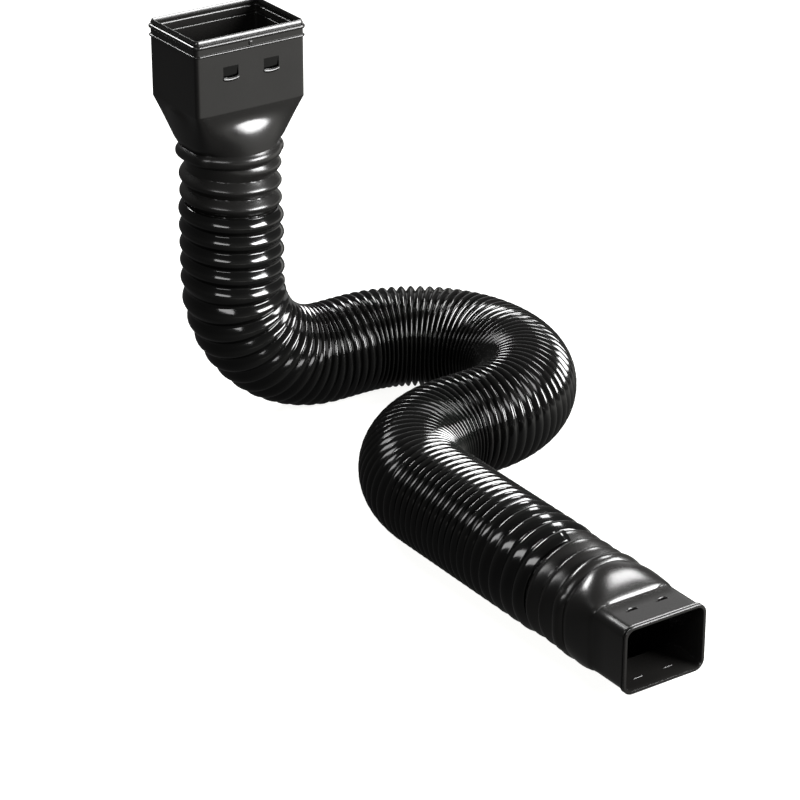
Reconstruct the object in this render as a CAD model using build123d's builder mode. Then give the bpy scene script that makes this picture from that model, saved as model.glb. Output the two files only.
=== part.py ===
from build123d import *
from math import atan2, ceil, cos, degrees, hypot, pi, sin, sqrt
import os

# Driving dimensions, in millimetres and degrees.
# Bellows: one blown polyethylene wall folded into a left-hand spiral rib.
CREST_DIAMETER = 108.0      # over the ribs
RIB_DEPTH = 5.6             # crest to root of the outer face
HOSE_WALL = 1.4
FACETS = 16                 # flats that stand for each round turn
THREAD_PITCH = 19.0         # rib pitch of the two screw mouths
MIDDLE_PITCH = 12.8         # rib pitch of the closed-up middle, before it is rounded to whole turns
TOP_THREAD_TURNS = 7        # turns at thread pitch below the top mouth
TOP_EASE_TURNS = 13         # turns over which the ribs close up after them
END_EASE_TURNS = 5          # turns over which the ribs open again
END_THREAD_TURNS = 4        # turns at thread pitch before the lower mouth
INNER_THREAD_TURNS = 3      # turns of each mouth that are ribbed inside too

# Route of the hose's centre line: down, round an elbow onto the ground, and along it in an S.
ELBOW_RADIUS = 113.0
TOP_LEG = 97.0              # upright run between the top mouth and the elbow
RUN_OUT = 36.0              # straight run after the elbow
LOOP_RADIUS = 115.0         # half-turn to the right
RUN_BACK = 24.0             # straight run after the half-turn
BEND_RADIUS = 109.0         # quarter-turn to the left
LOWER_RUN = 221.0           # straight run to the lower mouth

# Screwed neck that both adapters share.
THREAD_CLEARANCE = 0.4      # radial, between the neck's ribs and the hose's
ENGAGED_TURNS = 0.75        # rib turns of the neck inside the hose's first turn
NECK_WALL = 2.0
RING_DISTANCE = 47.0        # stop ring's crest, from the tip of the hose's mouth
RING_CREST_RADIUS = 53.5
RING_FOOT = 8.5             # crest of the ring to the ring's inner edge
RING_BACK = 7.5             # crest of the ring to the hopper
RING_FLAT = 3.0             # width of the ring's crest
FADE_TURNS = 0.3            # length over which the hose's inner thread runs out
NECK_FADE_TURNS = 0.43      # length over which a neck's thread runs into its stop ring

# Adapter bodies: a round domed neck that rises through the shoulders of a rectangular box.
HOPPER_RADIUS = 49.5
BODY_WALL = 2.2
INLET_WIDTH = 126.4
INLET_DEPTH = 90.4
INLET_CORNER = 4.6
INLET_HOPPER = 48.5
INLET_BOX = 80.0
OUTLET_WIDTH = 89.4
OUTLET_DEPTH = 65.6
OUTLET_CORNER = 9.5
OUTLET_HOPPER = 39.0
OUTLET_BOX = 47.5
DOME_POWER = 2.5            # how long the dome keeps its width before it rounds over
INLET_TUCK = 1.0            # share of the dome's height that the hopper holds
OUTLET_TUCK = 0.8
HOPPER_STAGES = 4
CORNER_STEPS = 3            # flats round each corner of a box
SIDE_STEPS = 2              # flats along each half side

# Rims. The inlet's beads are pressed out of the wall, so each leaves a groove inside.
INLET_LIP_INSET = 0.9       # how far the lip above the upper bead stands in
INLET_BEAD = 2.1            # how far the upper bead stands out
INLET_BEAD_HEIGHT = 4.4
INLET_BEAD_FROM_RIM = 7.0   # rim face to the middle of the upper bead
INLET_GROOVE = 1.1          # depth of the grooves behind the beads
BAND_BEAD = 1.75            # how far the lower bead stands out
BAND_BEAD_HEIGHT = 2.6
BAND_BEAD_FROM_RIM = 16.4   # rim face to the middle of the lower bead
OUTLET_BEAD = 1.4
OUTLET_BEAD_HEIGHT = 2.2
OUTLET_BEAD_GAP = 1.4
BEAD_BEVEL = 0.8

# Latch windows, two through each long side of a box, with a lip on the hopper's side of each.
INLET_WINDOW_WIDTH = 17.5
INLET_WINDOW_LENGTH = 12.5
INLET_WINDOW_SPACING = 47.0
INLET_WINDOW_FROM_RIM = 38.0
INLET_LIP = 1.2             # how far the lip stands out
OUTLET_WINDOW_WIDTH = 11.0
OUTLET_WINDOW_LENGTH = 6.0
OUTLET_WINDOW_SPACING = 34.0
OUTLET_WINDOW_FROM_RIM = 28.0
OUTLET_LIP = 0.8
LIP_LENGTH = 2.0

# Pip at the middle of the inlet's band, between the two beads.
PIP_WIDTH = 4.5
PIP_LENGTH = 5.0
PIP_HEIGHT = 1.2

HOSE_CREST = CREST_DIAMETER / 2
HOSE_ROOT = HOSE_CREST - RIB_DEPTH
NECK_CREST = HOSE_CREST - HOSE_WALL - THREAD_CLEARANCE
NECK_ROOT = NECK_CREST - RIB_DEPTH
INLET_RIM = RING_BACK + INLET_HOPPER + INLET_BOX
OUTLET_RIM = RING_BACK + OUTLET_HOPPER + OUTLET_BOX
FOOT_TURNS = (RING_DISTANCE - RING_FOOT) / THREAD_PITCH

# The upright leg stands where the whole part's footprint is centred on the origin.
REACH_LEFT = INLET_WIDTH / 2 + INLET_BEAD
REACH_RIGHT = ELBOW_RADIUS + RUN_OUT + LOOP_RADIUS + HOSE_CREST
REACH_FRONT = 2 * LOOP_RADIUS + BEND_RADIUS + LOWER_RUN + RING_DISTANCE + OUTLET_RIM
REACH_BACK = HOSE_CREST
TOP_MOUTH = (
    (REACH_LEFT - REACH_RIGHT) / 2,
    (REACH_FRONT - REACH_BACK) / 2,
    HOSE_CREST + ELBOW_RADIUS + TOP_LEG,
)

# Each stretch of the route: its length, its radius (0 if straight) and the axis that it bends about.
ROUTE = [
    (TOP_LEG, 0, Vector(0, 0, 0)),
    (ELBOW_RADIUS * pi / 2, ELBOW_RADIUS, Vector(0, -1, 0)),
    (RUN_OUT, 0, Vector(0, 0, 0)),
    (LOOP_RADIUS * pi, LOOP_RADIUS, Vector(0, 0, -1)),
    (RUN_BACK, 0, Vector(0, 0, 0)),
    (BEND_RADIUS * pi / 2, BEND_RADIUS, Vector(0, 0, 1)),
    (LOWER_RUN, 0, Vector(0, 0, 0)),
]
HOSE_LENGTH = sum(length for length, _, _ in ROUTE)

# The middle has a whole number of turns, so its pitch gives way a little.
END_LENGTH = THREAD_PITCH * (
    TOP_THREAD_TURNS + END_THREAD_TURNS + (TOP_EASE_TURNS + END_EASE_TURNS) / 2
)
EASED_TURNS = (TOP_EASE_TURNS + END_EASE_TURNS) / 2
MIDDLE_TURNS = round((HOSE_LENGTH - END_LENGTH) / MIDDLE_PITCH - EASED_TURNS)
CLOSED_PITCH = (HOSE_LENGTH - END_LENGTH) / (MIDDLE_TURNS + EASED_TURNS)

# Zones of the rib: turns, pitch at the start and pitch at the end.
ZONES = [
    (TOP_THREAD_TURNS, THREAD_PITCH, THREAD_PITCH),
    (TOP_EASE_TURNS, THREAD_PITCH, CLOSED_PITCH),
    (MIDDLE_TURNS, CLOSED_PITCH, CLOSED_PITCH),
    (END_EASE_TURNS, CLOSED_PITCH, THREAD_PITCH),
    (END_THREAD_TURNS, THREAD_PITCH, THREAD_PITCH),
]
HOSE_TURNS = sum(turns for turns, _, _ in ZONES)


def station(distance):
    """Plane square to the centre line, so far along the route, with x along the rib's seam."""
    here = Plane(origin=TOP_MOUTH, x_dir=(1, 0, 0), z_dir=(0, 0, -1))
    for number, (length, radius, bend) in enumerate(ROUTE, start=1):
        step = distance if number == len(ROUTE) else min(distance, length)
        if radius:
            turn = Axis((0, 0, 0), bend)
            angle = degrees(step / radius)
            to_centre = bend.cross(here.z_dir) * radius
            here = Plane(
                origin=here.origin + to_centre - to_centre.rotate(turn, angle),
                x_dir=here.x_dir.rotate(turn, angle),
                z_dir=here.z_dir.rotate(turn, angle),
            )
        else:
            here = here.offset(step)
        distance -= step
        if distance <= 0:
            break
    return here


def advance(turn):
    """Distance along the route that the rib's root has reached after so many turns."""
    distance = 0.0
    for number, (turns, first_pitch, last_pitch) in enumerate(ZONES, start=1):
        step = turn if number == len(ZONES) else min(turn, turns)
        slope = (last_pitch - first_pitch) / turns
        distance += first_pitch * step + slope * step**2 / 2
        turn -= step
        if turn <= 0:
            break
    return distance


def rib_point(turn, shift, radius):
    """Point of the left-hand rib at a turn; shift 0 is the root and shift 0.5 the crest after it."""
    angle = 2 * pi * turn
    across = (radius * cos(angle), -radius * sin(angle))
    return station(advance(turn + shift)).from_local_coords(Vector(*across, 0))


def flat(*corners):
    """Plane face with the given corners."""
    return Face(Wire.make_polygon(corners, close=True))


def strip(first_line, second_line, halved=False):
    """Row of ruled faces between two rows of points, or of flat triangles if halved."""
    rows = list(zip(first_line, first_line[1:], second_line, second_line[1:]))
    if halved:
        return [face for a, b, c, d in rows for face in (flat(a, b, c), flat(b, d, c))]
    return [
        Face.make_surface_from_curves(Edge.make_line(a, b), Edge.make_line(c, d))
        for a, b, c, d in rows
    ]


def folded_wall(first, last, root, crest_at, halved=False):
    """Zigzag skin from one turn to another, its root line and its crest line."""
    count = round((last - first) * FACETS)
    turns = [first + k / FACETS for k in range(count + FACETS + 1)]
    roots = [rib_point(turn, 0, root) for turn in turns]
    crests = [rib_point(turn, 0.5, crest_at(turn)) for turn in turns[: count + 1]]
    faces = strip(roots[: count + 1], crests, halved) + strip(crests, roots[FACETS:], halved)
    return faces, roots, crests


def end_faces(outer, inner, start, halved=False):
    """Spiral rim and the one-pitch step that close a folded wall at its first or last turn."""
    (outer_roots, outer_crests), (inner_roots, inner_crests) = outer, inner
    if start:
        rim_outer, rim_inner = outer_roots[: FACETS + 1], inner_roots[: FACETS + 1]
        outer_crest, inner_crest = outer_crests[0], inner_crests[0]
    else:
        rim_outer, rim_inner = outer_roots[-FACETS - 1 :], inner_roots[-FACETS - 1 :]
        outer_crest, inner_crest = outer_crests[-1], inner_crests[-1]
    step = flat(
        rim_outer[0], outer_crest, rim_outer[-1], rim_inner[-1], inner_crest, rim_inner[0]
    )
    return strip(rim_outer, rim_inner, halved) + [step]


def solid_of(faces):
    """Closed solid from faces that meet edge to edge."""
    return Solid(Shell(faces))


def ring_points(distance, radius, turn):
    """Corners of the flat-sided bore at one place of the route, in the rib's order."""
    plane = station(distance)
    angles = [2 * pi * (turn + k / FACETS) for k in range(FACETS + 1)]
    return [
        plane.from_local_coords(Vector(radius * cos(a), -radius * sin(a), 0)) for a in angles
    ]


def faded(turn, start, length):
    """0 before start, 1 after start + length, and straight between them."""
    return min(max((turn - start) / length, 0.0), 1.0)


def make_hose():
    """Bellows: ribbed outside from end to end, and inside as far as the necks screw in."""
    last = HOSE_TURNS - 1
    bore = HOSE_ROOT - HOSE_WALL
    outer_faces, outer_roots, outer_crests = folded_wall(
        0, last, HOSE_ROOT, lambda turn: HOSE_CREST
    )
    top_end = INNER_THREAD_TURNS
    low_end = last - INNER_THREAD_TURNS
    top_faces, top_roots, top_crests = folded_wall(
        0, top_end, bore, lambda turn: bore + RIB_DEPTH * faded(-turn, -top_end, FADE_TURNS)
    )
    low_faces, low_roots, low_crests = folded_wall(
        low_end, last, bore, lambda turn: bore + RIB_DEPTH * faded(turn, low_end, FADE_TURNS)
    )
    outer_line = (outer_roots, outer_crests)
    faces = outer_faces + top_faces + low_faces
    faces += end_faces(outer_line, (top_roots, top_crests), True)
    faces += end_faces(outer_line, (low_roots, low_crests), False)

    # The bore between the two threads is plain, with flat sides.
    bore_start = advance(top_end + 1) + THREAD_PITCH / 4
    bore_stop = advance(low_end) - THREAD_PITCH / 4
    places = [bore_start]
    travelled = 0.0
    for length, radius, _ in ROUTE:
        parts = ceil(degrees(length / radius) / 15) if radius else 1
        places += [travelled + length * part / parts for part in range(parts)]
        travelled += length
    places = sorted({p for p in places if bore_start <= p < bore_stop} | {bore_stop})
    rings = [ring_points(place, bore, 0) for place in places]
    for ring, next_ring in zip(rings, rings[1:]):
        faces += strip(ring, next_ring)

    # Between each thread's last root and the bore: the seam's corners lie on one side's edge.
    first_ring, root_turn = rings[0], top_roots[-FACETS - 1 :]
    faces.append(
        flat(root_turn[0], root_turn[1], first_ring[1], first_ring[0], root_turn[-1], top_crests[-1])
    )
    faces += strip(root_turn[1:], first_ring[1:])
    last_ring, root_turn = rings[-1], low_roots[: FACETS + 1]
    faces += strip(last_ring[:-1], root_turn[:-1])
    faces.append(
        flat(last_ring[-2], last_ring[-1], root_turn[0], low_crests[0], root_turn[-1], root_turn[-2])
    )
    return solid_of(faces)


def make_thread(first, last, crest_at):
    """Corrugated tube of a neck between two turns of the hose's rib."""
    skins = [
        folded_wall(first, last, root, lambda turn: root + RIB_DEPTH * crest_at(turn), True)
        for root in (NECK_ROOT, NECK_ROOT - NECK_WALL)
    ]
    (outer_faces, *outer), (inner_faces, *inner) = skins
    faces = outer_faces + inner_faces
    faces += end_faces(outer, inner, True, True)
    faces += end_faces(outer, inner, False, True)
    return solid_of(faces)


def reach(angle, side, front, bend):
    """Distance from the axis to a rounded rectangle, at an angle of its first quarter."""
    across, up = cos(angle), sin(angle)
    if up * side <= (front - bend) * across:
        return side / across
    if across * front <= (side - bend) * up:
        return front / up
    along = (side - bend) * across + (front - bend) * up
    return along + sqrt(along**2 - (side - bend) ** 2 - (front - bend) ** 2 + bend**2)


def hopper_radius(angle, share, size, tuck):
    """Radius of a hopper: the wider of the box's tapering shoulders and the neck's round dome."""
    width, depth, corner, radius = size
    side, front = width / 2, depth / 2
    narrow = radius / (hypot(side - corner, front - corner) + corner)
    shoulder = (narrow + (1 - narrow) * share) * reach(angle, side, front, corner)
    return max(shoulder, radius * sqrt(1 - (share * tuck) ** DOME_POWER))


def wall_ring(base, height, share, size, wall, tuck=1.0):
    """Points round an adapter's wall: on a circle at share 0, on a rounded rectangle at share 1."""
    width, depth, corner, radius = size
    side, front, bend = width / 2 - wall, depth / 2 - wall, max(corner - wall, 0.8)
    last = CORNER_STEPS + 2 * SIDE_STEPS
    quarter = []
    for step in range(last + 1):
        along_side = min(step / SIDE_STEPS, 1)
        along_front = min((last - step) / SIDE_STEPS, 1)
        turn = pi / 2 * min(max((step - SIDE_STEPS) / CORNER_STEPS, 0), 1)
        x = (side - bend) * along_front + bend * cos(turn)
        y = (front - bend) * along_side + bend * sin(turn)
        if share < 1:
            even = pi / 2 * step / last
            angle = even + (atan2(y, x) - even) * share
            here = hopper_radius(angle, share, size, tuck) if share else radius
            x, y = (here - wall) * cos(angle), (here - wall) * sin(angle)
        quarter.append((x, y))
    back = quarter[::-1]
    points = quarter[:-1]
    points += [(-x, y) for x, y in back[:-1]]
    points += [(-x, -y) for x, y in quarter[:-1]]
    points += [(x, -y) for x, y in back[:-1]]
    return [base.from_local_coords(Vector(x, y, height)) for x, y in points]


def wall_skin(rings, twisted):
    """Flat faces between rings of points; a twisted row is halved into triangles."""
    faces = []
    for row, (low, high) in enumerate(zip(rings, rings[1:])):
        for k in range(len(low)):
            a, b, c, d = low[k], low[k - 1], high[k - 1], high[k]
            if row in twisted:
                faces += [flat(a, b, c), flat(a, c, d)]
            else:
                faces.append(flat(a, b, c, d))
    return faces


def make_body(base, size, hopper, tuck, rim_outside, rim_inside):
    """Stop ring, hopper and box of an adapter as one wall; base lies in the ring's crest.

    The rim rows are heights and how far the skin there lies inside the plain box's outer face."""
    skins = []
    for wall, rim_rows in ((0, rim_outside), (BODY_WALL, rim_inside)):
        rings = [
            wall_ring(base, height, 0, size[:3] + (radius,), wall)
            for height, radius in (
                (-RING_FOOT, NECK_ROOT),
                (-RING_FLAT / 2, RING_CREST_RADIUS),
                (RING_FLAT / 2, RING_CREST_RADIUS),
                (RING_BACK, HOPPER_RADIUS),
            )
        ]
        foot_rows = len(rings) - 1
        shares = [stage / HOPPER_STAGES for stage in range(1, HOPPER_STAGES + 1)]
        rings += [wall_ring(base, RING_BACK + hopper * s, s, size, wall, tuck) for s in shares]
        rings += [wall_ring(base, height, 1, size, inset) for height, inset in rim_rows]
        skins.append((rings, wall_skin(rings, range(foot_rows, foot_rows + HOPPER_STAGES))))
    (outside, outside_faces), (inside, inside_faces) = skins
    ends = [
        Face(
            Wire.make_polygon(outside[end], close=True),
            [Wire.make_polygon(inside[end], close=True)],
        )
        for end in (0, -1)
    ]
    return solid_of(outside_faces + inside_faces + ends)


def bead_rows(bottom, top, proud, above):
    """Rows of a bevelled bead between two heights, standing out to proud; above it the wall is set in."""
    return [
        (bottom, 0),
        (bottom + BEAD_BEVEL, -proud),
        (top - BEAD_BEVEL, -proud),
        (top, above),
    ]


def groove_rows(bottom, top, depth):
    """Rows of a bevelled groove in the wall's inner face, between two heights."""
    return [
        (bottom, BODY_WALL),
        (bottom + BEAD_BEVEL, BODY_WALL - depth),
        (top - BEAD_BEVEL, BODY_WALL - depth),
        (top, BODY_WALL),
    ]


def make_neck(first, last, fade_at, upper):
    """Threaded neck, cut square at the foot of its stop ring, which is above it or beyond it."""
    if upper:
        thread = make_thread(
            first, last, lambda turn: faded(turn + 0.5, fade_at, NECK_FADE_TURNS) ** 2
        )
        return thread.split(station(RING_FOOT - RING_DISTANCE), keep=Keep.TOP)
    thread = make_thread(
        first, last, lambda turn: faded(0.5 - turn, -fade_at, NECK_FADE_TURNS) ** 2
    )
    return thread.split(station(HOSE_LENGTH + RING_DISTANCE - RING_FOOT), keep=Keep.BOTTOM)


def window_plane(base, height):
    """Plane through an adapter's axis at a height, its y pointing back to the hopper."""
    origin = base.offset(height).origin
    return Plane(origin=origin, x_dir=base.x_dir, z_dir=base.z_dir.cross(base.x_dir))


with BuildPart() as hose:
    add(make_hose())
hose.part.label = "hose"

# Inlet adapter: its neck screws into the hose's top mouth, and its box takes the downspout.
# Two beads run round under its rim, with a plain band between them and a thinner lip above.
inlet_base = Plane(origin=station(-RING_DISTANCE).origin, x_dir=(1, 0, 0), z_dir=(0, 0, 1))
inlet_size = (INLET_WIDTH, INLET_DEPTH, INLET_CORNER, HOPPER_RADIUS)
band_edge = INLET_RIM - BAND_BEAD_FROM_RIM - BAND_BEAD_HEIGHT / 2
band_top = band_edge + BAND_BEAD_HEIGHT
bead_edge = INLET_RIM - INLET_BEAD_FROM_RIM - INLET_BEAD_HEIGHT / 2
bead_top = bead_edge + INLET_BEAD_HEIGHT
inlet_rows = bead_rows(band_edge, band_top, BAND_BEAD, 0)
inlet_rows += bead_rows(bead_edge, bead_top, INLET_BEAD, INLET_LIP_INSET)
inlet_rows.append((INLET_RIM, INLET_LIP_INSET))
grooves = groove_rows(band_edge, band_top, INLET_GROOVE)
grooves += groove_rows(bead_edge, bead_top, INLET_GROOVE)
with BuildPart() as inlet_adapter:
    add(
        make_body(
            inlet_base, inlet_size, INLET_HOPPER, INLET_TUCK, inlet_rows,
            grooves + [(INLET_RIM, BODY_WALL)],
        )
    )
    add(make_neck(-ceil(FOOT_TURNS) - 1, ENGAGED_TURNS, -FOOT_TURNS, True))

    # Latch windows through both long sides, and the lip at the hopper's side of each.
    inlet_windows = window_plane(inlet_base, INLET_RIM - INLET_WINDOW_FROM_RIM)
    with BuildSketch(inlet_windows):
        with GridLocations(INLET_WINDOW_SPACING, 1, 2, 1):
            Rectangle(INLET_WINDOW_WIDTH, INLET_WINDOW_LENGTH)
    extrude(amount=INLET_DEPTH, both=True, mode=Mode.SUBTRACT)
    for side in (1, -1):
        with BuildSketch(inlet_windows.offset(side * (INLET_DEPTH - BODY_WALL) / 2)):
            with Locations((0, (INLET_WINDOW_LENGTH + LIP_LENGTH) / 2)):
                with GridLocations(INLET_WINDOW_SPACING, 1, 2, 1):
                    Rectangle(INLET_WINDOW_WIDTH, LIP_LENGTH)
        extrude(amount=side * (BODY_WALL / 2 + INLET_LIP))

    # Pip at the middle of the band.
    pip_from_rim = INLET_RIM - (band_top + bead_edge) / 2
    with BuildSketch(inlet_windows.offset((BODY_WALL - INLET_DEPTH) / 2)):
        with Locations((0, pip_from_rim - INLET_WINDOW_FROM_RIM)):
            Rectangle(PIP_WIDTH, PIP_LENGTH)
    extrude(amount=-(BODY_WALL / 2 + PIP_HEIGHT))
inlet_adapter.part.label = "inlet_adapter"

# Outlet adapter: the same neck at the lower mouth, and a smaller box lying on its long side.
lower_mouth = station(HOSE_LENGTH + RING_DISTANCE)
outlet_x = lower_mouth.z_dir.cross(Vector(0, 0, 1))
outlet_base = Plane(origin=lower_mouth.origin, x_dir=outlet_x, z_dir=lower_mouth.z_dir)
outlet_size = (OUTLET_WIDTH, OUTLET_DEPTH, OUTLET_CORNER, HOPPER_RADIUS)
first_bead = OUTLET_RIM - 2 * OUTLET_BEAD_HEIGHT - OUTLET_BEAD_GAP
outlet_rows = bead_rows(first_bead, first_bead + OUTLET_BEAD_HEIGHT, OUTLET_BEAD, 0)
outlet_rows += bead_rows(OUTLET_RIM - OUTLET_BEAD_HEIGHT, OUTLET_RIM, OUTLET_BEAD, BEAD_BEVEL - OUTLET_BEAD)
last_turn = HOSE_TURNS - 1
with BuildPart() as outlet_adapter:
    add(
        make_body(
            outlet_base, outlet_size, OUTLET_HOPPER, OUTLET_TUCK, outlet_rows,
            [(OUTLET_RIM, BODY_WALL)],
        )
    )
    add(
        make_neck(
            last_turn - ENGAGED_TURNS, HOSE_TURNS + ceil(FOOT_TURNS), last_turn + FOOT_TURNS, False
        )
    )

    # Small latch windows, raised on the hopper's side.
    outlet_windows = window_plane(outlet_base, OUTLET_RIM - OUTLET_WINDOW_FROM_RIM)
    with BuildSketch(outlet_windows):
        with GridLocations(OUTLET_WINDOW_SPACING, 1, 2, 1):
            Rectangle(OUTLET_WINDOW_WIDTH, OUTLET_WINDOW_LENGTH)
    extrude(amount=OUTLET_DEPTH, both=True, mode=Mode.SUBTRACT)
    for side in (1, -1):
        with BuildSketch(outlet_windows.offset(side * (OUTLET_DEPTH - BODY_WALL) / 2)):
            with Locations((0, (OUTLET_WINDOW_LENGTH + LIP_LENGTH) / 2)):
                with GridLocations(OUTLET_WINDOW_SPACING, 1, 2, 1):
                    Rectangle(OUTLET_WINDOW_WIDTH, LIP_LENGTH)
        extrude(amount=side * (BODY_WALL / 2 + OUTLET_LIP))
outlet_adapter.part.label = "outlet_adapter"

os.makedirs("parts", exist_ok=True)
for piece in (hose, inlet_adapter, outlet_adapter):
    export_step(piece.part, f"parts/{piece.part.label}.step")
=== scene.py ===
import math

import bpy
import numpy as np
from mathutils import Matrix, Vector


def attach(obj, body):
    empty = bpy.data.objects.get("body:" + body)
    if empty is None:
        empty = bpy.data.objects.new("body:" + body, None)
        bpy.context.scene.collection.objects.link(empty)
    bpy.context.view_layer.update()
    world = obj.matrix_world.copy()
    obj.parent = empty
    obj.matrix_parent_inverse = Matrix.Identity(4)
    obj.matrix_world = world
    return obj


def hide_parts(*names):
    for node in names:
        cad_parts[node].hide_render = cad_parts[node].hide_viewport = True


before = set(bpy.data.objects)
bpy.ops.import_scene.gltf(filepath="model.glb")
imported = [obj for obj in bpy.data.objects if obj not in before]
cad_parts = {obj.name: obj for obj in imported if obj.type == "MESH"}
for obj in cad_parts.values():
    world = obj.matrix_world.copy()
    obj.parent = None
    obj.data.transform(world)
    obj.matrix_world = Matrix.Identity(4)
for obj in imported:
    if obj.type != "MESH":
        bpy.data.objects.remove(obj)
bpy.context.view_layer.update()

# ---- Bellows ----
# The hose: one blown wall of black polyethylene, folded into a left-hand spiral rib.
# Its ribs stand open at the two screw mouths and close up between them, and it keeps the S
# that it was bent to: down, round an elbow onto the ground, half a turn right, a quarter left.
CREST = 0.054
RIB_DEPTH = 0.0056
HOSE_WALL = 0.0014
HOSE_ROOT = CREST - RIB_DEPTH
THREAD_PITCH = 0.019
ELBOW_RADIUS, LOOP_RADIUS, BEND_RADIUS = 0.113, 0.115, 0.109
TOP_MOUTH = np.array([-0.12635, 0.3235, 0.264])
ROUTE = [
    (0.097, 0, (0, 0, 0)),
    (ELBOW_RADIUS * math.pi / 2, ELBOW_RADIUS, (0, -1, 0)),
    (0.036, 0, (0, 0, 0)),
    (LOOP_RADIUS * math.pi, LOOP_RADIUS, (0, 0, -1)),
    (0.024, 0, (0, 0, 0)),
    (BEND_RADIUS * math.pi / 2, BEND_RADIUS, (0, 0, 1)),
    (0.221, 0, (0, 0, 0)),
]
HOSE_LENGTH = sum(length for length, _, _ in ROUTE)


def turned(vector, axis, angle):
    """The vector turned about a unit axis by each angle: v cos a + (n x v) sin a + n (n.v)(1 - cos a)."""
    vector, axis = np.asarray(vector, float), np.asarray(axis, float)
    c, s = np.cos(angle)[..., None], np.sin(angle)[..., None]
    return vector * c + np.cross(axis, vector) * s + axis * (axis @ vector) * (1 - c)


def centre_line(distance):
    """Place, seam direction and heading of the hose's centre line at each distance along it:
    straight runs and arcs end to end, each run's frame turned about its own bend axis."""
    distance = np.asarray(distance, float)
    place = np.zeros(distance.shape + (3,))
    seam, ahead = place.copy(), place.copy()
    here, x, z, start = TOP_MOUTH, np.array([1.0, 0, 0]), np.array([0, 0, -1.0]), 0.0
    for number, (length, radius, axis) in enumerate(ROUTE):
        low = -np.inf if number == 0 else start
        high = np.inf if number == len(ROUTE) - 1 else start + length
        chosen = (distance >= low) & (distance < high)
        steps = np.append(distance[chosen] - start, length)
        if radius:
            to_centre = np.cross(axis, z) * radius
            places = here + to_centre - turned(to_centre, axis, steps / radius)
            xs, zs = turned(x, axis, steps / radius), turned(z, axis, steps / radius)
        else:
            places = here + np.outer(steps, z)
            xs, zs = np.tile(x, (len(steps), 1)), np.tile(z, (len(steps), 1))
        place[chosen], seam[chosen], ahead[chosen] = places[:-1], xs[:-1], zs[:-1]
        here, x, z, start = places[-1], xs[-1], zs[-1], start + length
    return place, seam, ahead


# Rib pitch at distances along the hose, open at the mouths and closed up between, and the turns
# that have passed at each distance: the sum of distance / pitch, made whole in the closed run.
CLOSED_START, CLOSED_END, CLOSED_PITCH = 0.360, 0.850, 0.0087
PITCHES = [
    (0.095, THREAD_PITCH),
    (0.125, 0.0176),
    (0.180, 0.0146),
    (0.235, 0.0103),
    (0.300, 0.0094),
    (CLOSED_START, CLOSED_PITCH),
    (CLOSED_END, CLOSED_PITCH),
    (0.960, 0.0094),
    (1.005, 0.012),
    (1.035, 0.017),
    (1.048, THREAD_PITCH),
]
PAST_ENDS, TABLE_ROWS = 0.15, 8001
pitch_at, pitch_of = np.array(PITCHES).T
distance_table = np.linspace(-PAST_ENDS, HOSE_LENGTH + PAST_ENDS, TABLE_ROWS)
pitch_table = np.interp(distance_table, pitch_at, pitch_of)
rate = 1 / pitch_table
turn_table = np.append(0, np.cumsum((rate[1:] + rate[:-1]) / 2 * np.diff(distance_table)))
turn_table -= np.interp(0, distance_table, turn_table)
HOSE_TURNS = round(np.interp(HOSE_LENGTH, distance_table, turn_table))
short = HOSE_TURNS - np.interp(HOSE_LENGTH, distance_table, turn_table)
turn_table += short * np.clip((distance_table - CLOSED_START) / (CLOSED_END - CLOSED_START), 0, 1)


def rib(phase, crown=0.3):
    """Height of a rib over its root, from 0 to 1, for u = 2 phase - 1: the hyperbola
    (sqrt(1 + c^2) - sqrt(u^2 + c^2)) / (sqrt(1 + c^2) - c), rounder the wider its crown c is."""
    top = np.sqrt(1 + crown**2)
    return (top - np.sqrt((2 * phase - 1) ** 2 + crown**2)) / (top - crown)


def mesh_object(name, points, faces):
    """One smooth mesh object at the origin from lists of points and of face index rows."""
    mesh = bpy.data.meshes.new(name)
    mesh.from_pydata(points, [], faces)
    mesh.validate()
    mesh.polygons.foreach_set("use_smooth", [True] * len(mesh.polygons))
    piece = bpy.data.objects.new(name, mesh)
    bpy.context.scene.collection.objects.link(piece)
    return piece


# Points round a turn, places across a rib, and the crowns of closed-up and of open ribs.
ROUND = 50
PHASES = np.array([0, 0.08, 0.23, 0.37, 0.46, 0.54, 0.63, 0.77, 0.92])
CROWNS = [0.8, 0.35]


def bellows_skin(inset):
    """Points of the folded wall, turn by turn, and the height of the rib at each: at angle 2 pi t,
    at the distance of turn t + phase, at radius root + depth * rib(phase) - inset, with a wider
    crown where the ribs close up. The last turn's points close the last fold."""
    columns = np.arange((HOSE_TURNS - 1) * ROUND + 1)
    turn = (columns / ROUND)[:, None] + np.zeros(len(PHASES))
    phase = np.zeros(len(columns))[:, None] + PHASES
    ending = (columns[-1] + 1 + np.arange(ROUND)) / ROUND
    turn = np.append(turn.ravel(), ending)
    phase = np.append(phase.ravel(), np.zeros(ROUND))
    crown = np.interp(np.interp(turn, turn_table, pitch_table), [CLOSED_PITCH, THREAD_PITCH], CROWNS)
    radius = HOSE_ROOT + RIB_DEPTH * rib(phase, crown) - inset
    place, seam, ahead = centre_line(np.interp(turn + phase, turn_table, distance_table))
    side = np.cross(ahead, seam)
    angle = 2 * math.pi * turn
    across = seam * np.cos(angle)[:, None] - side * np.sin(angle)[:, None]
    return place + across * radius[:, None], rib(phase)


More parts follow.
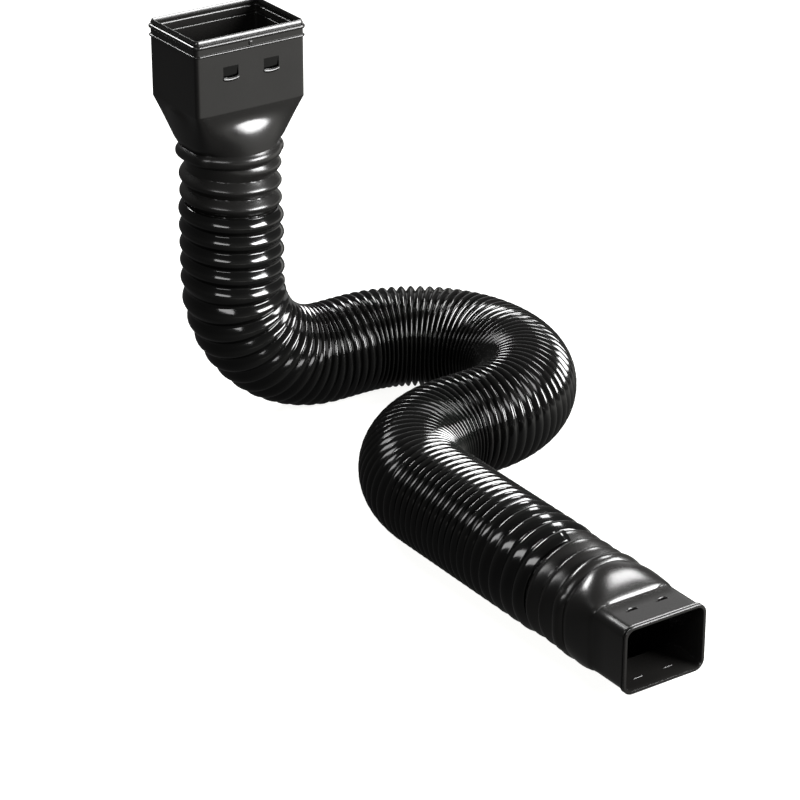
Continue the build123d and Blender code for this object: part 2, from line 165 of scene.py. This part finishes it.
def bellows_faces():
    """Index rows of the skin's quads, and the root indices round its first and last turn."""
    rows = len(PHASES)
    whole = (HOSE_TURNS - 1) * ROUND + 1

    def index(column, row):
        column = column + np.where(row == rows, ROUND, 0)
        row = np.where(row == rows, 0, row)
        return np.where(column < whole, column * rows + row, whole * rows + column - whole)

    column, row = np.meshgrid(np.arange(whole - 1), np.arange(rows), indexing="ij")
    column, row = column.ravel(), row.ravel()
    near = [index(column, row), index(column, row + 1)]
    far = [index(column + 1, row + 1), index(column + 1, row)]
    quads = np.stack(near + far, axis=1)
    first = index(np.arange(ROUND + 1), np.zeros(ROUND + 1, int))
    last = index(np.arange(whole - 1, whole + ROUND), np.zeros(ROUND + 1, int))
    return quads, first, last


def edge_strip(line, shift):
    """Quads that join a line of the outer skin to the same line of the inner skin, shift later."""
    return np.stack([line[:-1], line[1:], line[1:] + shift, line[:-1] + shift], axis=1)


outer_points, outer_rib = bellows_skin(0)
inner_points, inner_rib = bellows_skin(HOSE_WALL)
quads, first_roots, last_roots = bellows_faces()
shift = len(outer_points)
rows = len(PHASES)
start_fold = np.append(np.arange(rows), first_roots[-1])
end_column = (HOSE_TURNS - 1) * ROUND * rows
end_fold = np.append(end_column + np.arange(rows), last_roots[-1])
bellows_points = np.concatenate([outer_points, inner_points])
bellows_quads = np.concatenate(
    [
        quads,
        quads[:, ::-1] + shift,
        edge_strip(first_roots, shift),
        edge_strip(last_roots, shift)[:, ::-1],
        edge_strip(start_fold[::-1], shift),
        edge_strip(end_fold, shift),
    ]
)
bellows = mesh_object("bellows", bellows_points.tolist(), bellows_quads.tolist())
crest_map = bellows.data.attributes.new("crest", "FLOAT", "POINT")
crest_map.data.foreach_set("value", np.concatenate([outer_rib, inner_rib]).astype(np.float32))


class Wire:
    """A shader socket that can be used in sums: each operator adds the Math node that it names."""

    def __init__(self, nodes, socket):
        self.nodes, self.socket = nodes, socket

    def node(self, kind, settings=(), **values):
        """A node of a kind, with its settings made first and then its sockets' values or links.
        A socket is given by its name, with _ for a space, or by i and its number."""
        made = self.nodes.new(kind)
        for name, value in dict(settings).items():
            setattr(made, name, value)
        for name, value in values.items():
            socket = made.inputs[int(name[1:]) if name[1:].isdigit() else name.replace("_", " ")]
            value = value.socket if isinstance(value, Wire) else value
            if isinstance(value, bpy.types.NodeSocket):
                made.id_data.links.new(value, socket)
            else:
                socket.default_value = value
        return made

    def math(self, operation, *values):
        """The result of a Math node on numbers and wires."""
        inputs = {f"i{number}": value for number, value in enumerate(values)}
        made = self.node("ShaderNodeMath", {"operation": operation}, **inputs)
        return Wire(self.nodes, made.outputs[0])

    def __add__(self, other):
        return self.math("ADD", self, other)

    def __radd__(self, other):
        return self.math("ADD", other, self)

    def __sub__(self, other):
        return self.math("SUBTRACT", self, other)

    def __rsub__(self, other):
        return self.math("SUBTRACT", other, self)

    def __mul__(self, other):
        return self.math("MULTIPLY", self, other)

    def __rmul__(self, other):
        return self.math("MULTIPLY", other, self)

    def between(self, low, high):
        """0 up to low, 1 from high, and smooth between them."""
        settings = {"interpolation_type": "SMOOTHSTEP"}
        made = self.node("ShaderNodeMapRange", settings, Value=self, From_Min=low, From_Max=high)
        return Wire(self.nodes, made.outputs[0])

    def mixed(self, first, second):
        """The first colour where this is 0 and the second where it is 1."""
        made = self.node("ShaderNodeMix", {"data_type": "RGBA"}, i0=self, i6=first, i7=second)
        return Wire(self.nodes, made.outputs[2])


def new_material(name):
    """A material with its Principled shader, and the Object coordinates as a wire."""
    material = bpy.data.materials.new(name)
    material.use_nodes = True
    nodes = material.node_tree.nodes
    shader = nodes["Principled BSDF"]
    place = Wire(nodes, nodes.new("ShaderNodeTexCoord").outputs["Object"])
    return material, shader, place


def noise(place, scale, detail):
    """Even cloudy noise between 0 and 1 at a scale in patches per metre."""
    made = place.node("ShaderNodeTexNoise", Vector=place, Scale=scale, Detail=detail)
    return Wire(place.nodes, made.outputs["Fac"])


def feed(material, socket, wire):
    """Links a wire to a shader socket."""
    material.node_tree.links.new(wire.socket, socket)


def bumped(place, height, distance, strength):
    """A Bump node's normal for a height wire."""
    made = place.node("ShaderNodeBump", Height=height, Distance=distance, Strength=strength)
    return Wire(place.nodes, made.outputs[0])


# Blown polyethylene: near black, lighter and more polished along the crests of the ribs.
ROOT_COLOUR, CREST_COLOUR = (0.0025, 0.0025, 0.0024, 1), (0.006, 0.006, 0.0057, 1)
hose_plastic, shader, place = new_material("blown_polyethylene")
attribute = place.node("ShaderNodeAttribute", {"attribute_name": "crest"})
crest = Wire(place.nodes, attribute.outputs["Fac"])
cloud = noise(place, 22, 4)
polish = crest.between(0.55, 1.0)
feed(hose_plastic, shader.inputs["Base Color"], polish.mixed(ROOT_COLOUR, CREST_COLOUR))
feed(hose_plastic, shader.inputs["Roughness"], 0.09 + cloud * 0.07 - polish * 0.02)
feed(hose_plastic, shader.inputs["Normal"], bumped(place, noise(place, 420, 3), 0.0001, 0.08))
shader.inputs["IOR"].default_value = 1.5
bellows.data.materials.append(hose_plastic)
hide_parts("hose")
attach(bellows, "root")

# ---- Adapter walls ----
# Both adapters are one moulded wall of grey-black polyethylene: a screwed neck inside the hose's
# mouth, a stop ring, a hopper from round to rectangle, and a box with a beaded rim.
NECK_WALL, NECK_CLEARANCE = 0.0022, 0.0002
NECK_CREST, NECK_DEPTH = CREST - HOSE_WALL - NECK_CLEARANCE, 0.0066
NECK_ROOT = NECK_CREST - NECK_DEPTH
RING_DISTANCE, RING_FOOT, RING_BACK = 0.047, 0.0085, 0.0075
RING_CREST, RING_POWER, HOPPER_RADIUS = 0.0535, 2.4, 0.0495
NECK_INSIDE = 0.024
FADE_TURNS = 0.43
# A window's pocket is this deep at its foot, and loses this share of it towards its top.
WINDOW_DEPTH, WINDOW_SLOPE = 0.00215, 0.95
# Edges sharper than this are creases. Rows of the mesh up the neck, the ring and the hopper, and
# places round a quarter of the wall, by steps: the side, the corner and the front.
SHARP_ANGLE = math.radians(38)
NECK_ROWS, RING_ROWS, HOPPER_ROWS = 84, 17, 31
QUARTER = np.concatenate([np.linspace(0, 2, 10), np.linspace(2, 5, 16), np.linspace(5, 7, 15)])
EDGE_GAP = 0.08


def round_rectangle(steps, width, depth, corner):
    """Points round a rounded rectangle, by steps of a quarter: 0 to 2 the side, 2 to 5 the corner
    and 5 to 7 the front, each at even speed; the other quarters are its mirror images."""
    quarter, step = np.divmod(steps, 7)
    back = np.isin(quarter, (1, 3))
    step = np.where(back, 7 - step, step)
    turn = np.clip((step - 2) / 3, 0, 1) * math.pi / 2
    x = (width / 2 - corner) * np.clip((7 - step) / 2, 0, 1) + corner * np.cos(turn)
    y = (depth / 2 - corner) * np.clip(step / 2, 0, 1) + corner * np.sin(turn)
    return np.where(np.isin(quarter, (1, 2)), -x, x), np.where(quarter >= 2, -y, y)


def squircle(angle, a, b, power):
    """Distance r from the axis to |r cos/a|^n + |r sin/b|^n = 1 at each angle."""
    return (np.abs(np.cos(angle) / a) ** power + np.abs(np.sin(angle) / b) ** power) ** (-1 / power)


def shoulders(angle, share, size, radius):
    """A hopper's straight shoulders: its width goes in a line from the neck's circle to the box and
    so does the reach of its corners, which sets the power n = ln 2 / ln(width's scale / reach's)."""
    width, depth, corner = size
    side, front = width / 2, depth / 2
    scale = radius / side + (1 - radius / side) * share
    full = math.hypot(side - corner, front - corner) + corner
    across = radius + (full - radius) * share
    power = math.log(2) / math.log(scale * math.hypot(side, front) / across)
    return squircle(angle, side * scale, front * scale, power)


def body_grid(steps, rows, size, dome, inset):
    """Grid of an adapter's wall, each row a (height, share, radius). At share 0 it is a circle of
    that radius and at share 1 the box. Between, it is (shoulders^16 + dome^16)^(1/16), whose lesser
    part fades in and out at the ends: the dome has the shoulders' width, a power n from 2 in a line
    to last_power, and a depth b = radius * sqrt(1 - (1 - (last / radius)^2) share^late)."""
    width, depth, corner = size
    late, last, last_power = dome
    even = steps / 7 * math.pi / 2
    whole_x, whole_y = round_rectangle(steps, width, depth, corner)
    square = np.unwrap(np.arctan2(whole_y, whole_x))
    grid = []
    for (height, share, radius), off in zip(rows, inset):
        x, y = round_rectangle(steps, width - 2 * off, depth - 2 * off, max(corner - off, 0.0008))
        if share < 1:
            angle = even + (square - even) * share
            a = radius + (width / 2 - radius) * share
            b = radius * math.sqrt(1 - (1 - (last / radius) ** 2) * share**late)
            bulge = squircle(angle, a, b, 2 + (last_power - 2) * share)
            wide = shoulders(angle, share, size, radius)
            bigger = np.maximum(wide, bulge)
            smaller = np.minimum(wide, bulge) / bigger
            fade = min(1, 6 * share, 12 * (1 - share))
            here = bigger * (1 + smaller**16 * fade) ** (1 / 16)
            x, y = (here - off) * np.cos(angle), (here - off) * np.sin(angle)
        grid.append(np.stack([x, y, np.full(len(steps), height)], axis=1))
    return np.array(grid)


def thread_grid(steps, heights, seam_angle, inset):
    """Grid of a neck's wall: radius root + depth * rib(phase) at each angle and height, where the
    phase is the rib turns passed there; the rib runs out where its root reaches the stop ring."""
    angle = steps / 7 * math.pi / 2
    turns_here = (-heights - RING_DISTANCE) / THREAD_PITCH
    around = (angle - seam_angle) / (2 * math.pi)
    passed = turns_here[:, None] - around[None, :]
    phase = passed - np.floor(passed)
    root_turn = passed - phase + around[None, :]
    foot = -(RING_DISTANCE - RING_FOOT) / THREAD_PITCH
    depth = np.clip((root_turn + 0.5 - foot) / FADE_TURNS, 0, 1) ** 2
    radius = NECK_ROOT + NECK_DEPTH * rib(phase) * depth - inset
    x, y = radius * np.cos(angle), radius * np.sin(angle)
    return np.stack([x, y, np.broadcast_to(heights[:, None], x.shape)], axis=2)


def wall_rows(hopper, box_rows):
    """Rows of the wall above the neck: the ring's round crest, the hopper and the box. The ring's
    radius is low + (crest - low)(1 - reach^power), with reach 0 at its crest and 1 at its foot."""
    rows = []
    for h in np.linspace(-RING_FOOT, RING_BACK, RING_ROWS)[1:]:
        low = NECK_ROOT if h < 0 else HOPPER_RADIUS
        reach = h / -RING_FOOT if h < 0 else h / RING_BACK
        rows.append((h, 0.0, low + (RING_CREST - low) * (1 - reach**RING_POWER)))
    for share in np.append(np.linspace(0, 1, HOPPER_ROWS)[1:-1], [0.99, 1]):
        rows.append((RING_BACK + hopper * share, share, HOPPER_RADIUS))
    foot = RING_BACK + hopper
    for height in box_rows:
        rows.append((foot + height, 1.0, HOPPER_RADIUS))
    return rows


def grid_faces(rows, columns, keep=None):
    """Quads of a grid that closes round itself: all of them, or only the ones that keep marks."""
    row, column = np.meshgrid(np.arange(rows - 1), np.arange(columns), indexing="ij")
    after = (column + 1) % columns
    low, high = row * columns, (row + 1) * columns
    quads = np.stack([low + column, low + after, high + after, high + column], axis=2)
    return quads[keep] if keep is not None else quads.reshape(-1, 4)


def adapter_mesh(name, size, hopper, dome, outside, inside, window, seam_angle, base):
    """A whole adapter: outer and inner wall grids, joined at the rim and the neck's end, with a
    blind pocket wherever a cell lies between a window's edges. A window is (x from, x to, z from,
    z to), on each side of the middle and in both long walls. Base turns and moves it into place."""
    width, depth, corner = size
    half = width / 2 - corner
    x_low, x_high, z_low, z_high = window
    edges_at = np.round([7 - 2 * x / half for x in (x_low, x_high)], 6)
    clear = np.abs(QUARTER[:, None] - edges_at).min(axis=1) > EDGE_GAP
    quarter = np.unique(np.round(np.append(QUARTER[clear | (QUARTER == 7)], edges_at), 6))
    mirrored = np.round(14 - quarter, 6)
    steps = np.unique(np.concatenate([quarter, mirrored, 14 + quarter, 14 + mirrored]) % 28)
    neck = np.linspace(-RING_DISTANCE - NECK_INSIDE, -RING_FOOT, NECK_ROWS)
    skins = []
    for inset, rim in ((0.0, outside), (NECK_WALL, inside)):
        rows = wall_rows(hopper, [h for h, _ in rim])
        insets = np.full(len(rows), inset)
        insets[len(rows) - len(rim) :] = [off for _, off in rim]
        lower = thread_grid(steps, neck, seam_angle, inset)
        skins.append(np.concatenate([lower, body_grid(steps, rows, size, dome, insets)]))
    outer, inner = skins
    columns, height = len(steps), outer[:, 0, 2]
    middle = (steps + np.append(steps[1:], 28)) / 2
    mid_x, _ = round_rectangle(middle, width, depth, corner)
    on_front = (middle % 14 > 5) & (middle % 14 < 9)
    mid_z = (height[1:] + height[:-1]) / 2
    across = on_front & (np.abs(mid_x) > x_low) & (np.abs(mid_x) < x_high)
    hole = ((mid_z > z_low) & (mid_z < z_high))[:, None] & across[None, :]
    ring = np.arange(columns)
    after = (ring + 1) % columns
    first_inner = len(outer) * columns
    first_pocket = first_inner + len(inner) * columns
    outer_rim, inner_rim = first_inner - columns, first_pocket - columns
    points = [outer.reshape(-1, 3), inner.reshape(-1, 3)]
    faces = [
        grid_faces(len(outer), columns, ~hole),
        grid_faces(len(inner), columns)[:, ::-1] + first_inner,
        np.stack([outer_rim + ring, outer_rim + after, inner_rim + after, inner_rim + ring], axis=1),
        np.stack([after, ring, first_inner + ring, first_inner + after], axis=1),
    ]
    # Window pockets: the missing cells again, sloping into the wall, and the sides round them.
    cells = grid_faces(len(outer), columns, hole)
    used, deep = np.unique(cells, return_inverse=True)
    deep = deep.reshape(cells.shape) + first_pocket
    floor_of = points[0][used]
    sunk = WINDOW_DEPTH * (1 - WINDOW_SLOPE * (floor_of[:, 2] - z_low) / (z_high - z_low))
    floor_of[:, 1] -= np.sign(floor_of[:, 1]) * sunk
    points.append(floor_of)
    faces.append(deep)
    edges = {}
    for cell, under in zip(cells.tolist(), deep.tolist()):
        for k in range(4):
            edges[cell[k], cell[(k + 1) % 4]] = (under[k], under[(k + 1) % 4])
    faces.append(np.array([[a, b, d, e] for (a, b), (e, d) in edges.items() if (b, a) not in edges]))
    points = np.concatenate(points) @ base[0].T + base[1]
    piece = mesh_object(name, points.tolist(), np.concatenate(faces).tolist())
    piece.data.set_sharp_from_angle(angle=SHARP_ANGLE)
    # Marks the pockets' points, which the material paints with painted shade.
    pocket_shade = piece.data.attributes.new("pocket_shade", "FLOAT", "POINT")
    pocket_shade.data.foreach_set("value", (np.arange(len(points)) >= first_pocket).astype(np.float32))
    return piece


LIP_END_POWER = 4


def rounded_lip(middle, half, power, bow=0.0, around=28, along=24):
    """A closed rounded bar: middle + half sizes times a superellipsoid of latitude and longitude,
    with a power round its section and another towards its ends, bowed towards the rim by
    bow * x^2."""
    latitude = np.linspace(-math.pi / 2, math.pi / 2, along + 1)[1:-1]
    longitude = np.linspace(0, 2 * math.pi, around, endpoint=False)
    lat, lon = np.meshgrid(latitude, longitude, indexing="ij")

    def soft(value, power):
        return np.sign(value) * np.abs(value) ** (2 / power)

    x, girth = soft(np.sin(lat), LIP_END_POWER), soft(np.cos(lat), LIP_END_POWER)
    ring = np.stack([x, girth * soft(np.cos(lon), power), girth * soft(np.sin(lon), power)], axis=2)
    unit = np.concatenate([ring.reshape(-1, 3), [[-1, 0, 0], [1, 0, 0]]])
    points = unit * half + middle
    points[:, 2] += bow * unit[:, 0] ** 2
    faces = grid_faces(len(latitude), around)[:, ::-1].tolist()
    low, high, nxt = len(points) - 2, len(points) - 1, (np.arange(around) + 1) % around
    top = (len(latitude) - 1) * around
    faces += np.stack([np.full(around, low), np.arange(around), nxt], axis=1).tolist()
    faces += np.stack([np.full(around, high), top + nxt, top + np.arange(around)], axis=1).tolist()
    return points, faces


def joined(name, parts, base):
    """One mesh object of several closed bars, moved into place by base."""
    points, faces, offset = [], [], 0
    for part_points, part_faces in parts:
        points.append(part_points @ base[0].T + base[1])
        faces += [[i + offset for i in face] for face in part_faces]
        offset += len(part_points)
    return mesh_object(name, np.concatenate(points).tolist(), faces)


def bead(middle, height, proud, above=0.0, steps=12):
    """Rows of a rolled bead: proud * sin(a)^0.7 from foot to foot, and past its crest less above
    times 1 - sin(a)^0.7, so that it ends on the wall above it."""
    swing = np.linspace(0, math.pi, steps + 1)
    curve = np.sin(swing) ** 0.7
    out = proud * curve - above * (1 - curve) * (swing > math.pi / 2)
    return list(zip(middle - height / 2 * np.cos(swing), -out))


# Moulded polyethylene of the adapters: greyer than the hose, softly glossy, faintly mottled, and
# blackest and smoothest in the windows' pockets, where the black is painted shade of the recess.
WALL_DARK, WALL_LIGHT = (0.006, 0.0057, 0.0054, 1), (0.010, 0.0097, 0.0092, 1)
# The pockets' colour is painted shade: blacker than the wall, as if little light falls into them.
POCKET_PAINTED_SHADE = (0.0005, 0.0005, 0.0005, 1)
adapter_plastic, shader, place = new_material("moulded_polyethylene")
cloud = noise(place, 14, 3)
fine = noise(place, 260, 3)
attribute = place.node("ShaderNodeAttribute", {"attribute_name": "pocket_shade"})
pocket_shade = Wire(place.nodes, attribute.outputs["Fac"])
wall_colour = cloud.mixed(WALL_DARK, WALL_LIGHT)
# In the windows' pockets the wall's colour gives way to their painted shade.
feed(adapter_plastic, shader.inputs["Base Color"], pocket_shade.mixed(wall_colour, POCKET_PAINTED_SHADE))
feed(adapter_plastic, shader.inputs["Roughness"], 0.2 + cloud * 0.07 + fine * 0.03 - pocket_shade * 0.19)
feed(adapter_plastic, shader.inputs["Normal"], bumped(place, fine + noise(place, 35, 2) * 2, 0.00012, 0.14))

# ---- Inlet adapter ----
# It stands on the hose's upright leg and takes the downspout in its open box.
# Both beads under its rolled rim are pressed out of the wall, and each long side has two latch
# windows, each over a raised lip.
INLET = (0.1264, 0.0904, 0.0046)
INLET_HOPPER, INLET_BOX = 0.0485, 0.080
INLET_DOME = (3.5, 0.0060, 2.5)
LIP_INSET, GROOVE = 0.0009, 0.0011
RIM_BEAD, RIM_BEAD_HEIGHT, RIM_BEAD_MIDDLE = 0.0021, 0.0042, INLET_BOX - 0.0070
LOW_BEAD, LOW_BEAD_HEIGHT, LOW_BEAD_MIDDLE = 0.00175, 0.0026, INLET_BOX - 0.0164
# Depth below the rim and inset of its rolled top edge, a slope of 31 degrees.
RIM_SLOPE = [
    (0.0040, LIP_INSET),
    (0.0037, 0),
    (0.0034, -0.0002),
    (0.0014, 0.0010),
    (0.0004, 0.0011),
    (0, 0.0015),
]
WINDOW_X, WINDOW_HALF_WIDTH = 0.0235, 0.00875
WINDOW_Z, WINDOW_HALF_HEIGHT = INLET_BOX - 0.038, 0.00625
LIP_HALF, LIP_POWER, LIP_BOW, LIP_DROP = np.array([0.0094, 0.0013, 0.0021]), 1.2, 0.0016, 0.0014
PIP_HALF, PIP_POWER, PIP_DROP = np.array([0.0022, 0.0011, 0.0024]), 4.0, 0.01215
window_low, window_high = WINDOW_Z - WINDOW_HALF_HEIGHT, WINDOW_Z + WINDOW_HALF_HEIGHT
plain = [0.0008, 0.018, window_low, WINDOW_Z, window_high, LOW_BEAD_MIDDLE - 0.003]
outside = [(h, 0.0) for h in plain]
outside += bead(LOW_BEAD_MIDDLE, LOW_BEAD_HEIGHT, LOW_BEAD)
outside += [(INLET_BOX - 0.0115, 0.0)]
outside += bead(RIM_BEAD_MIDDLE, RIM_BEAD_HEIGHT, RIM_BEAD, LIP_INSET)
outside += [(INLET_BOX - h, off) for h, off in RIM_SLOPE]
inside = [(h, NECK_WALL) for h in plain]
inside += [(h, NECK_WALL + off) for h, off in bead(LOW_BEAD_MIDDLE, LOW_BEAD_HEIGHT, GROOVE)]
inside += [(h, NECK_WALL + off) for h, off in bead(RIM_BEAD_MIDDLE, RIM_BEAD_HEIGHT, GROOVE)]
inside += [(INLET_BOX - 0.0004, NECK_WALL), (INLET_BOX, NECK_WALL - 0.0003)]
inlet_middle = TOP_MOUTH + np.array([0, 0, RING_DISTANCE])
inlet_base = (np.eye(3), inlet_middle)
foot = RING_BACK + INLET_HOPPER
inlet_window = (
    WINDOW_X - WINDOW_HALF_WIDTH,
    WINDOW_X + WINDOW_HALF_WIDTH,
    foot + window_low,
    foot + window_high,
)
inlet_body = adapter_mesh(
    "inlet_body", INLET, INLET_HOPPER, INLET_DOME, outside, inside, inlet_window, 0.0, inlet_base
)
lips = []
for side in (1, -1):
    for x in (-WINDOW_X, WINDOW_X):
        middle = np.array([x, side * INLET[1] / 2, foot + window_low - LIP_DROP])
        lips.append(rounded_lip(middle, LIP_HALF, LIP_POWER, LIP_BOW))
inlet_lips = joined("inlet_window_lips", lips, inlet_base)
pip_middle = np.array([0, -INLET[1] / 2, foot + INLET_BOX - PIP_DROP])
inlet_pip = joined("inlet_band_pip", [rounded_lip(pip_middle, PIP_HALF, PIP_POWER)], inlet_base)
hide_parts("inlet_adapter")
for piece in (inlet_body, inlet_lips, inlet_pip):
    piece.data.materials.append(adapter_plastic)
    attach(piece, "root")

# ---- Outlet adapter ----
# It lies on the ground at the hose's lower mouth; its hopper stays domed nearly to the flat top.
# Two small windows in its top and two in its bottom, each with a raised louvre and a bar inside,
# hold the next pipe.
OUTLET = (0.0894, 0.0656, 0.0095)
OUTLET_HOPPER, OUTLET_BOX = 0.039, 0.0475
OUTLET_DOME = (2.0, 0.0336, 4.2)
OUTLET_BEAD, OUTLET_BEAD_HEIGHT = 0.0014, 0.0022
SLOT_X, SLOT_HALF_WIDTH, SLOT_Z = 0.017, 0.0055, OUTLET_BOX - 0.028
LOUVRE_HALF, LOUVRE_POWER, LOUVRE_BOW = np.array([0.0064, 0.0012, 0.0010]), 2.0, 0.0030
BAR_HALF, BAR_POWER = np.array([0.0058, 0.0006, 0.0008]), 2.2
LOUVRE_Z, BAR_Z = SLOT_Z - 0.0026, OUTLET_BOX - 0.0165
slot_low, slot_high = SLOT_Z - 0.0018, SLOT_Z + 0.0012
plain = [0.0022, slot_low, SLOT_Z, slot_high, OUTLET_BOX - 0.012, OUTLET_BOX - 0.0062]
outside = [(0.0004, 0.0004), (0.0009, -0.0003), (0.0014, -0.0003)] + [(h, 0.0) for h in plain]
outside += bead(OUTLET_BOX - 0.0047, OUTLET_BEAD_HEIGHT, OUTLET_BEAD)
outside += bead(OUTLET_BOX - 0.0011, OUTLET_BEAD_HEIGHT, OUTLET_BEAD)
inside = [(h, NECK_WALL) for h in plain]
inside += [(OUTLET_BOX - 0.001, NECK_WALL), (OUTLET_BOX, NECK_WALL - 0.0006)]
end_place, end_seam, end_ahead = (v[0] for v in centre_line(np.array([HOSE_LENGTH + RING_DISTANCE])))
outlet_x = np.cross(end_ahead, [0, 0, 1.0])
outlet_y = np.cross(end_ahead, outlet_x)
outlet_base = (np.stack([outlet_x, outlet_y, end_ahead], axis=1), end_place)
seam_angle = math.atan2(end_seam @ outlet_y, end_seam @ outlet_x)
foot = RING_BACK + OUTLET_HOPPER
slot = (SLOT_X - SLOT_HALF_WIDTH, SLOT_X + SLOT_HALF_WIDTH, foot + slot_low, foot + slot_high)
outlet_body = adapter_mesh(
    "outlet_body", OUTLET, OUTLET_HOPPER, OUTLET_DOME, outside, inside, slot, seam_angle, outlet_base
)
hoods = []
for side in (1, -1):
    for x in (-SLOT_X, SLOT_X):
        middle = np.array([x, side * OUTLET[1] / 2, foot + LOUVRE_Z])
        hoods.append(rounded_lip(middle, LOUVRE_HALF, LOUVRE_POWER, LOUVRE_BOW))
        middle = np.array([x, side * (OUTLET[1] / 2 - NECK_WALL), foot + BAR_Z])
        hoods.append(rounded_lip(middle, BAR_HALF, BAR_POWER))
outlet_hoods = joined("outlet_louvres", hoods, outlet_base)
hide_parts("outlet_adapter")
for piece in (outlet_body, outlet_hoods):
    piece.data.materials.append(adapter_plastic)
    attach(piece, "root")

# ---- Floor, light and camera ----
# A plain white floor to the camera. To all other rays it glows, a painted pool of light that is
# brighter towards the right, which the plastic mirrors. The key lamp stands on the right, a strip
# behind on the left, a soft one behind and one overhead, and a weak one in front on the left.
FLOOR_HALF, FLOOR_DROP = 15.0, 0.0004
DIM_GLOW, BRIGHT_GLOW = (0.07, 0.07, 0.07, 1), (0.76, 0.755, 0.72, 1)
PAPER_WHITE = (1.0, 1.0, 0.985, 1)
corners = np.array([(-1, -1, 0), (1, -1, 0), (1, 1, 0), (-1, 1, 0)]) * FLOOR_HALF
floor = mesh_object("floor", (corners - [0, 0, FLOOR_DROP]).tolist(), [(0, 1, 2, 3)])
floor_paint, shader, place = new_material("floor_paint")
nodes = floor_paint.node_tree.nodes
nodes.remove(shader)
camera_ray = place.node("ShaderNodeLightPath").outputs["Is Camera Ray"]
split = place.node("ShaderNodeSeparateXYZ", i0=place)
to_right = Wire(nodes, split.outputs["X"]) * 0.75 - Wire(nodes, split.outputs["Y"]) * 0.65
# Painted light: the floor's glow, dim on the left and bright towards the right, seen by all but camera
# rays.
painted_glow_colour = to_right.between(-0.1, 0.7).mixed(DIM_GLOW, BRIGHT_GLOW)
painted_glow = place.node("ShaderNodeEmission", Color=painted_glow_colour)
white = place.node("ShaderNodeEmission", Color=PAPER_WHITE, Strength=0.93)
paper = place.node("ShaderNodeBsdfDiffuse", Color=(0.3, 0.3, 0.295, 1))
seen = place.node("ShaderNodeAddShader", i0=white.outputs[0], i1=paper.outputs[0])
chosen = place.node("ShaderNodeMixShader", i0=camera_ray, i1=painted_glow.outputs[0], i2=seen.outputs[0])
surface = nodes["Material Output"].inputs["Surface"]
floor_paint.node_tree.links.new(chosen.outputs[0], surface)
floor.data.materials.append(floor_paint)

world = bpy.data.worlds.new("studio")
bpy.context.scene.world = world
world.use_nodes = True
nodes = world.node_tree.nodes
dim = nodes["Background"]
dim.inputs["Color"].default_value = DIM_GLOW
camera_ray = Wire(nodes, nodes.new("ShaderNodeLightPath").outputs["Is Camera Ray"])
bright = camera_ray.node("ShaderNodeBackground", Color=PAPER_WHITE)
chosen = camera_ray.node("ShaderNodeMixShader", i0=camera_ray, i1=dim.outputs[0], i2=bright.outputs[0])
world.node_tree.links.new(chosen.outputs[0], nodes["World Output"].inputs["Surface"])


def lamp(name, direction, distance, size, power, target):
    """A rectangular area lamp in a direction from the target, turned to face it and unseen itself."""
    data = bpy.data.lights.new(name, "AREA")
    data.shape = "RECTANGLE"
    data.size, data.size_y = size
    data.energy = power
    made = bpy.data.objects.new(name, data)
    bpy.context.scene.collection.objects.link(made)
    toward = Vector(direction).normalized()
    made.location = Vector(target) + toward * distance
    made.rotation_mode = "QUATERNION"
    made.rotation_quaternion = toward.to_track_quat("Z", "Y")
    made.visible_camera = False


lamp("key_lamp", (0.57, -0.74, 0.42), 2.0, (1.4, 0.85), 135, (0, 0, 0.15))
lamp("left_strip", (-0.14, 0.75, 0.64), 2.2, (1.0, 0.5), 50, (0, 0, 0.2))
lamp("back_softbox", (0.51, 0.75, 0.43), 2.0, (1.5, 1.0), 4.5, (0, 0, 0.1))
lamp("overhead_softbox", (0.54, -0.02, 0.84), 2.0, (0.8, 0.5), 33, (0, 0, 0.1))
lamp("fill_lamp", (-0.80, -0.46, 0.52), 2.2, (1.2, 0.45), 13, (0, 0, 0.2))

# The camera stands where the photograph was taken: 25 degrees down, 34 degrees round.
PITCH, BEARING = math.radians(25.4884), math.radians(34.2232)
CAMERA_PLACE = Vector((-1.69005, -2.2821, 1.4734))
level = Vector((math.sin(BEARING), math.cos(BEARING), 0))
ahead = level * math.cos(PITCH) - Vector((0, 0, math.sin(PITCH)))
right = Vector((math.cos(BEARING), -math.sin(BEARING), 0))
above = right.cross(ahead)
camera_data = bpy.data.cameras.new("camera")
camera_data.lens = 144
camera_data.sensor_width = 36
camera = bpy.data.objects.new("camera", camera_data)
bpy.context.scene.collection.objects.link(camera)
turn = Matrix((right, above, -ahead)).transposed().to_4x4()
camera.matrix_world = Matrix.Translation(CAMERA_PLACE) @ turn
camera_data.clip_end = 100
bpy.context.scene.camera = camera
bpy.context.scene.view_settings.view_transform = "Standard"
